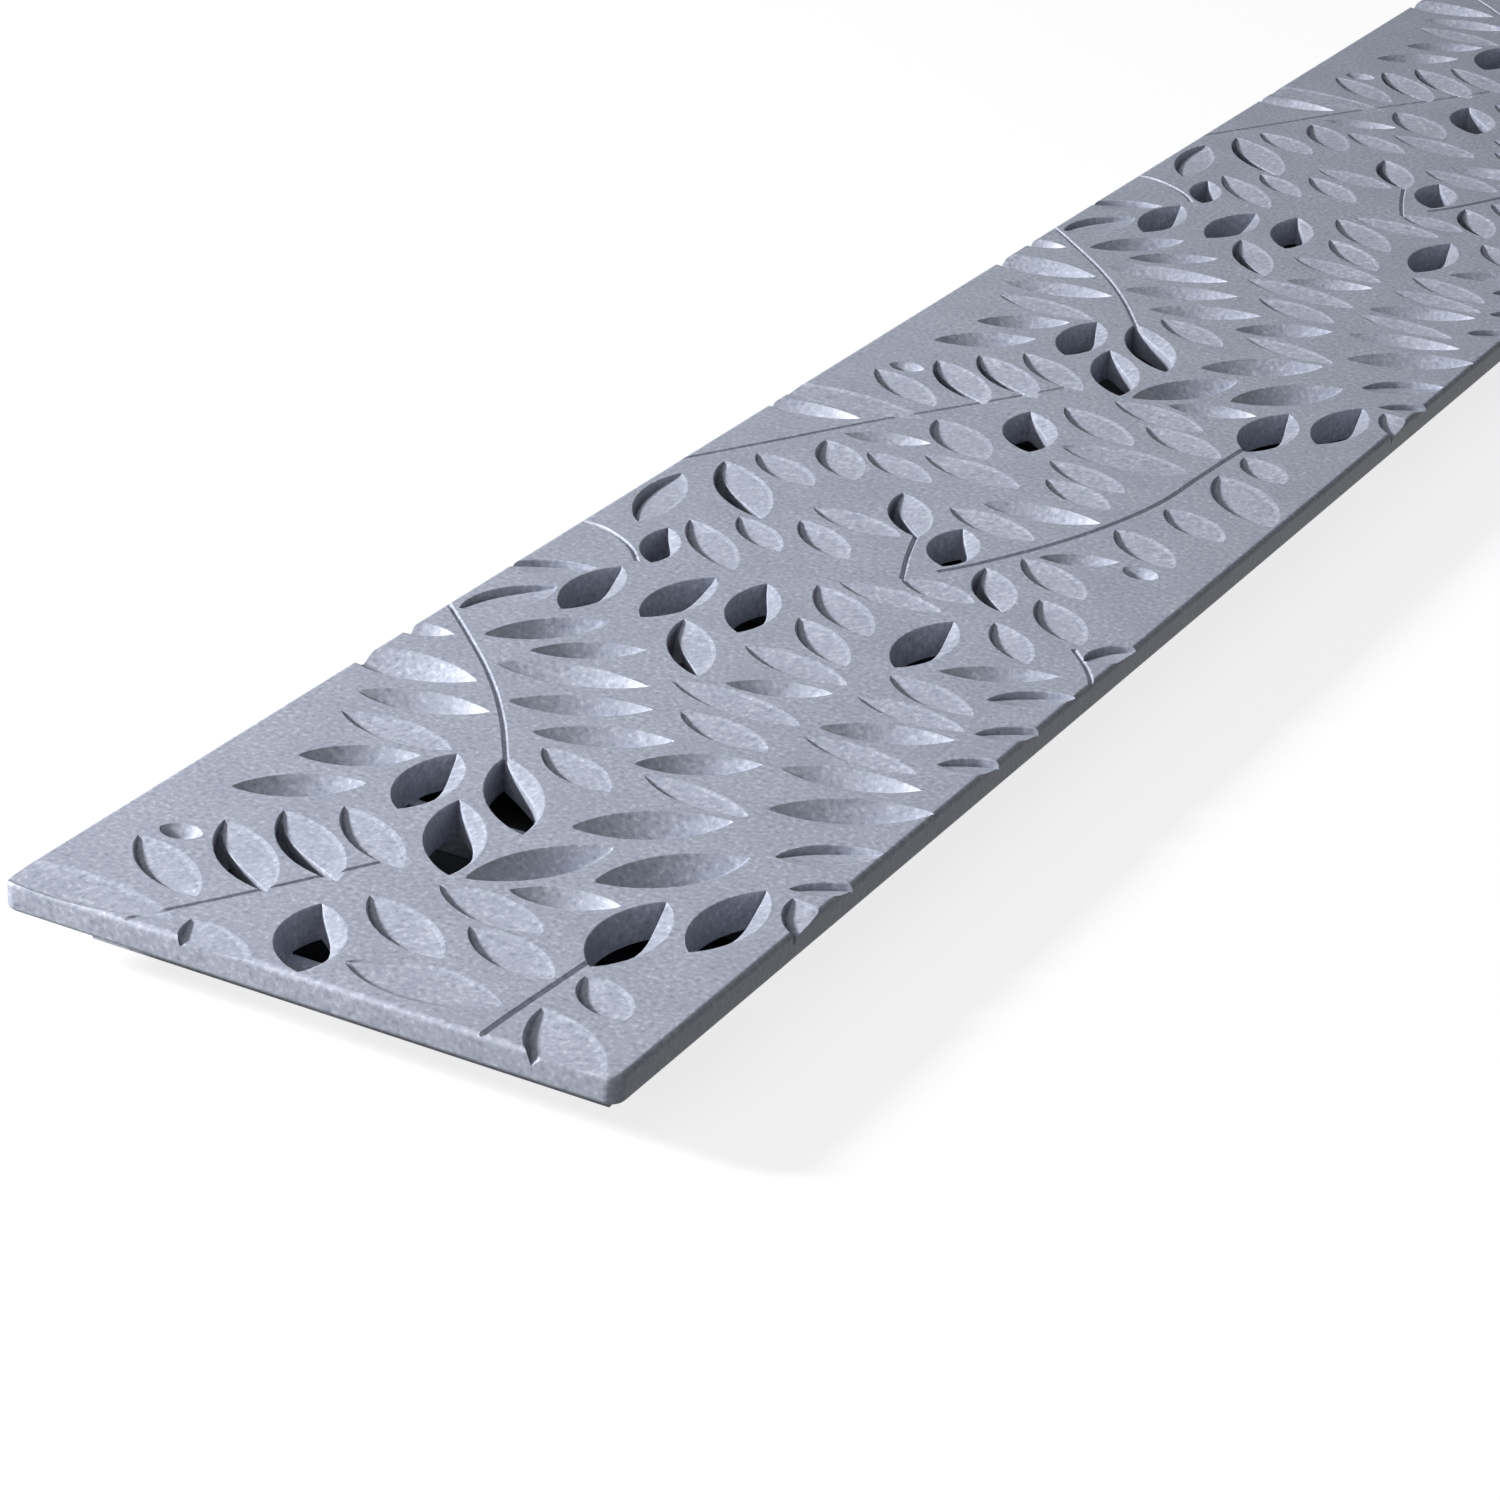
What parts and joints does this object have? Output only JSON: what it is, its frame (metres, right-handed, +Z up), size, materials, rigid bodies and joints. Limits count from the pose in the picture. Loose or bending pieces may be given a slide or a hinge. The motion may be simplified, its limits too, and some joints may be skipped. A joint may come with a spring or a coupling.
{
  "type": "channel drain grate",
  "caption": "Moulded plastic drop-in grate for a trench drain, its flat top carved and pierced with pointed leaves on curved stems, with a lip and a ribbed skirt below",
  "frame": {"origin": "middle of the footprint, on the plane that the skirt's foot stands on", "axes": "+X across the grate, +Y along it, +Z up out of the carved face"},
  "size_m": [0.1048, 0.6096, 0.0127],
  "materials": {
    "grate_plastic": "blue-grey moulded plastic, fine speckle, slight satin sheen"
  },
  "bodies": {
    "root": {"grate": "grate_plastic"}
  },
  "joints": []
}
